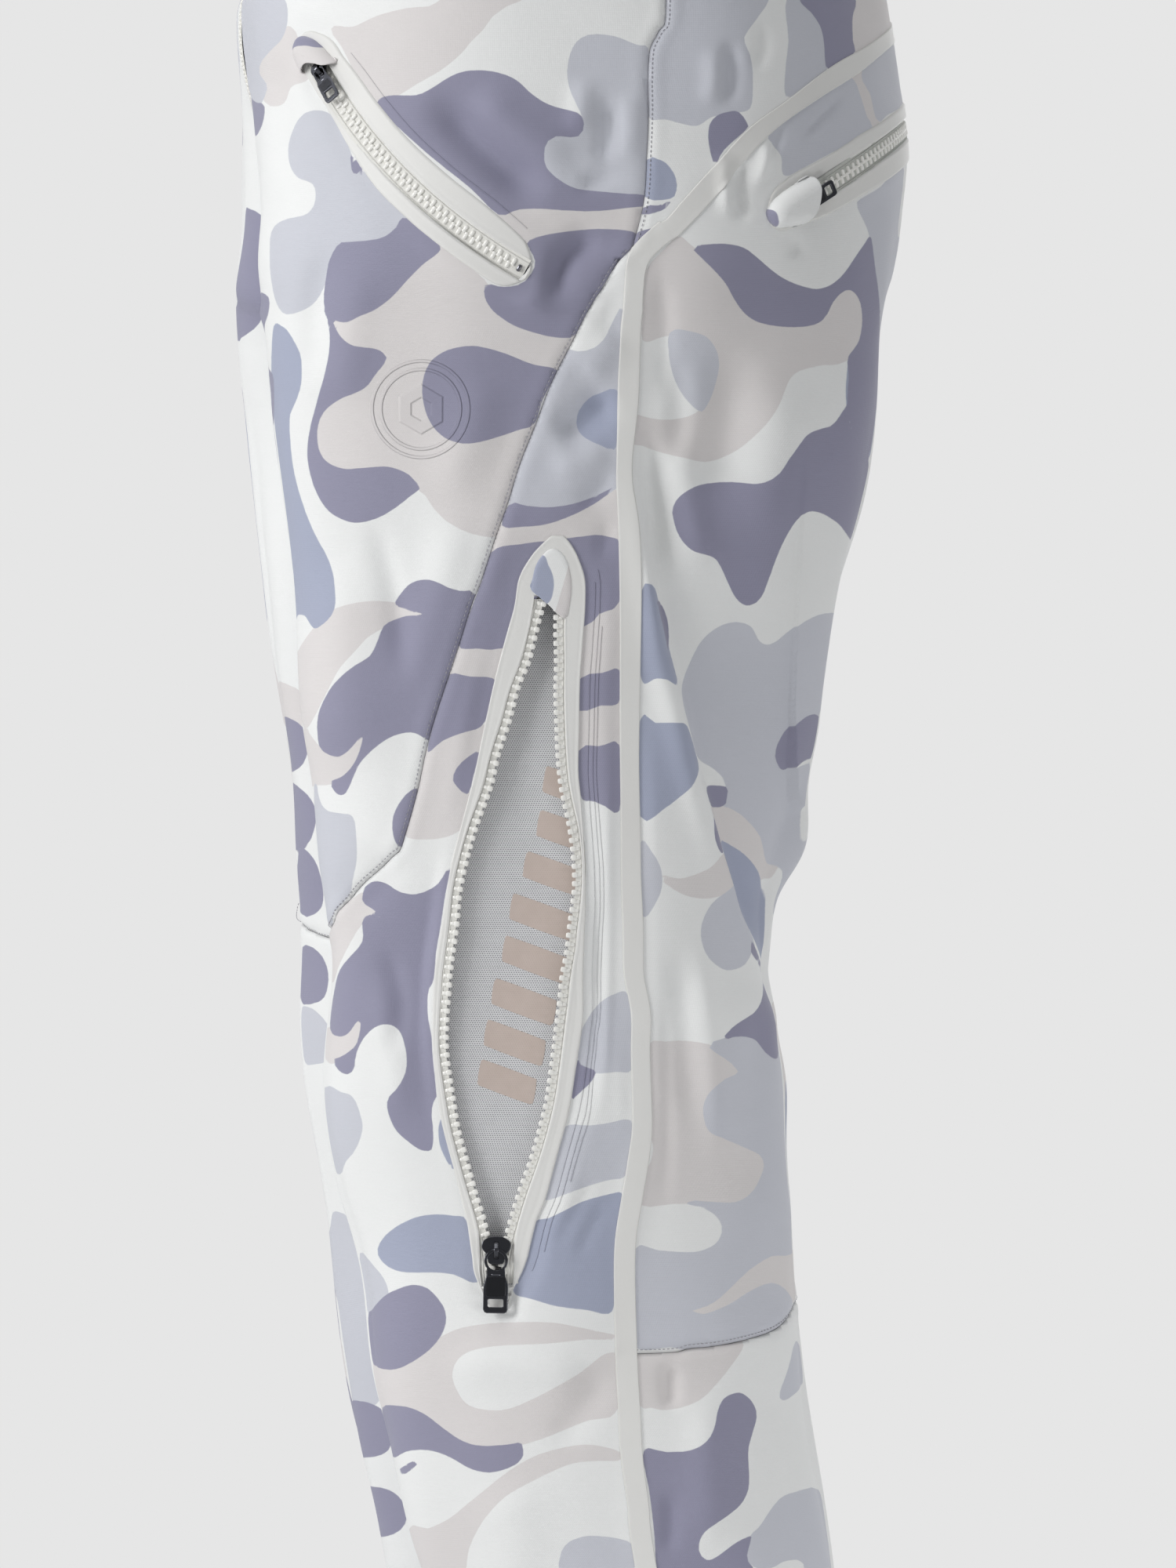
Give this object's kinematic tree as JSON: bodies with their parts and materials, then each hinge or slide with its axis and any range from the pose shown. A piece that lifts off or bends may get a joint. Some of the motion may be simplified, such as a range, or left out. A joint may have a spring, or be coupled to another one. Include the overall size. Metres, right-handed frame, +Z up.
{
  "type": "insulated ski pants",
  "caption": "Camouflage-print ski pants with white seam tapes, welded zip pockets and an open side vent on each thigh backed by mesh lining",
  "frame": {"origin": "middle of the waist, in the plane of the waistband's top edge", "axes": "+Z up along the outseam, +X to the wearer's left, -Y to the front"},
  "size_m": [0.3934, 0.3437, 1.0501],
  "materials": {
    "shell_cloth": "printed matt woven shell over insulation",
    "bonded_tape": "matt bonded film tape",
    "zip_teeth": "moulded white teeth on woven tape",
    "zip_metal": "dark gunmetal, glossy",
    "mesh_lining": "open knitted mesh",
    "inner_cloth": "plain woven lining",
    "waist_cloth": "woven with soft backing"
  },
  "bodies": {
    "pants": {"left_front_thigh_panel": "shell_cloth", "right_front_thigh_panel": "shell_cloth", "left_shin_panel": "shell_cloth", "right_shin_panel": "shell_cloth", "left_back_thigh_panel": "shell_cloth", "right_back_thigh_panel": "shell_cloth", "left_calf_panel": "shell_cloth", "right_calf_panel": "shell_cloth", "left_hip_yoke": "shell_cloth", "right_hip_yoke": "shell_cloth", "left_side_tape": "bonded_tape", "right_side_tape": "bonded_tape", "left_yoke_tape": "bonded_tape", "right_yoke_tape": "bonded_tape", "left_vent_frame": "bonded_tape", "right_vent_frame": "bonded_tape", "left_vent_teeth_front": "zip_teeth", "right_vent_teeth_front": "zip_teeth", "left_vent_teeth_back": "zip_teeth", "right_vent_teeth_back": "zip_teeth", "left_vent_mesh": "mesh_lining", "right_vent_mesh": "mesh_lining", "left_hand_pocket_frame": "bonded_tape", "right_hand_pocket_frame": "bonded_tape", "left_hand_pocket_chain": "zip_teeth", "right_hand_pocket_chain": "zip_teeth", "left_hand_pocket_bag": "inner_cloth", "right_hand_pocket_bag": "inner_cloth", "left_back_pocket_frame": "bonded_tape", "right_back_pocket_frame": "bonded_tape", "left_back_pocket_chain": "zip_teeth", "right_back_pocket_chain": "zip_teeth", "left_back_pocket_bag": "inner_cloth", "right_back_pocket_bag": "inner_cloth", "left_gaiter": "inner_cloth", "right_gaiter": "inner_cloth", "waistband": "waist_cloth", "waist_snap_cap": "zip_metal", "left_belt_loop": "waist_cloth", "right_belt_loop": "waist_cloth", "back_belt_loop": "waist_cloth", "fly_chain": "zip_teeth", "fly_guard": "inner_cloth"},
    "left_vent_slider_body": {"left_vent_slider": "zip_metal"},
    "left_vent_puller_body": {"left_vent_puller": "zip_metal"},
    "right_vent_slider_body": {"right_vent_slider": "zip_metal"},
    "right_vent_puller_body": {"right_vent_puller": "zip_metal"},
    "left_hand_pocket_slider_body": {"left_hand_pocket_slider": "zip_metal"},
    "left_hand_pocket_puller_body": {"left_hand_pocket_puller": "zip_metal"},
    "right_hand_pocket_slider_body": {"right_hand_pocket_slider": "zip_metal"},
    "right_hand_pocket_puller_body": {"right_hand_pocket_puller": "zip_metal"},
    "left_back_pocket_slider_body": {"left_back_pocket_slider": "zip_metal"},
    "left_back_pocket_puller_body": {"left_back_pocket_puller": "zip_metal"},
    "right_back_pocket_slider_body": {"right_back_pocket_slider": "zip_metal"},
    "right_back_pocket_puller_body": {"right_back_pocket_puller": "zip_metal"},
    "fly_slider_body": {"fly_slider": "zip_metal"},
    "fly_puller_body": {"fly_puller": "zip_metal"},
    "left_adjuster_body": {"left_adjuster_tab": "waist_cloth"},
    "right_adjuster_body": {"right_adjuster_tab": "waist_cloth"}
  },
  "joints": [
    {"name": "left_vent_zip", "type": "hinge", "parent": "pants", "child": "left_vent_slider_body", "pos_m": [1.16432, 1.97012, -0.73623], "axis": [-0.8968, 0.4406, -0.0398], "range_deg": [0, 7.95]},
    {"name": "left_vent_puller_hinge", "type": "hinge", "parent": "left_vent_slider_body", "child": "left_vent_puller_body", "pos_m": [0.17461, -0.05462, -0.73422], "axis": [-0.106, -0.9943, 0.0144], "range_deg": [0, 119.98]},
    {"name": "right_vent_zip", "type": "hinge", "parent": "pants", "child": "right_vent_slider_body", "pos_m": [-1.16432, 1.97012, -0.73623], "axis": [-0.8968, -0.4406, 0.0398], "range_deg": [0, 7.95]},
    {"name": "right_vent_puller_hinge", "type": "hinge", "parent": "right_vent_slider_body", "child": "right_vent_puller_body", "pos_m": [-0.17461, -0.05462, -0.73422], "axis": [-0.106, 0.9943, -0.0144], "range_deg": [0, 119.98]},
    {"name": "left_hand_pocket_zip", "type": "hinge", "parent": "pants", "child": "left_hand_pocket_slider_body", "pos_m": [0.03206, 0.07003, -0.10411], "axis": [0.7591, 0.2102, 0.6161], "range_deg": [0, 36.04]},
    {"name": "left_hand_pocket_puller_hinge", "type": "hinge", "parent": "left_hand_pocket_slider_body", "child": "left_hand_pocket_puller_body", "pos_m": [0.12137, -0.14035, -0.13808], "axis": [-0.3936, -0.7054, -0.5895], "range_deg": [0, 119.98]},
    {"name": "right_hand_pocket_zip", "type": "hinge", "parent": "pants", "child": "right_hand_pocket_slider_body", "pos_m": [-0.03206, 0.07003, -0.10411], "axis": [0.7591, -0.2102, -0.6161], "range_deg": [0, 36.04]},
    {"name": "right_hand_pocket_puller_hinge", "type": "hinge", "parent": "right_hand_pocket_slider_body", "child": "right_hand_pocket_puller_body", "pos_m": [-0.12137, -0.14035, -0.13808], "axis": [-0.3936, 0.7054, 0.5895], "range_deg": [0, 119.98]},
    {"name": "left_back_pocket_zip", "type": "hinge", "parent": "pants", "child": "left_back_pocket_slider_body", "pos_m": [0.04326, 0.0649, -0.22449], "axis": [0.0378, -0.5268, 0.8491], "range_deg": [0, 66.52]},
    {"name": "left_back_pocket_puller_hinge", "type": "hinge", "parent": "left_back_pocket_slider_body", "child": "left_back_pocket_puller_body", "pos_m": [0.163, 0.10276, -0.20806], "axis": [-0.3447, 0.4023, -0.8481], "range_deg": [0, 119.98]},
    {"name": "right_back_pocket_zip", "type": "hinge", "parent": "pants", "child": "right_back_pocket_slider_body", "pos_m": [-0.04326, 0.0649, -0.22449], "axis": [0.0378, 0.5268, -0.8491], "range_deg": [0, 66.52]},
    {"name": "right_back_pocket_puller_hinge", "type": "hinge", "parent": "right_back_pocket_slider_body", "child": "right_back_pocket_puller_body", "pos_m": [-0.163, 0.10276, -0.20806], "axis": [-0.3447, -0.4023, 0.8481], "range_deg": [0, 119.98]},
    {"name": "fly_zip", "type": "hinge", "parent": "pants", "child": "fly_slider_body", "pos_m": [0, -0.05998, -0.10883], "axis": [1, 0, 0], "range_deg": [0, 57.11]},
    {"name": "fly_puller_hinge", "type": "hinge", "parent": "fly_slider_body", "child": "fly_puller_body", "pos_m": [0, -0.1593, -0.04959], "axis": [-1, 0, 0], "range_deg": [0, 119.98]},
    {"name": "left_adjuster_peel", "type": "hinge", "parent": "pants", "child": "left_adjuster_body", "pos_m": [0.14481, -0.06045, -0.01893], "axis": [-0.0793, 0.1213, 0.9894], "range_deg": [0, 89.98]},
    {"name": "right_adjuster_peel", "type": "hinge", "parent": "pants", "child": "right_adjuster_body", "pos_m": [-0.14481, -0.06045, -0.01893], "axis": [-0.0793, -0.1213, -0.9894], "range_deg": [0, 89.98]}
  ]
}
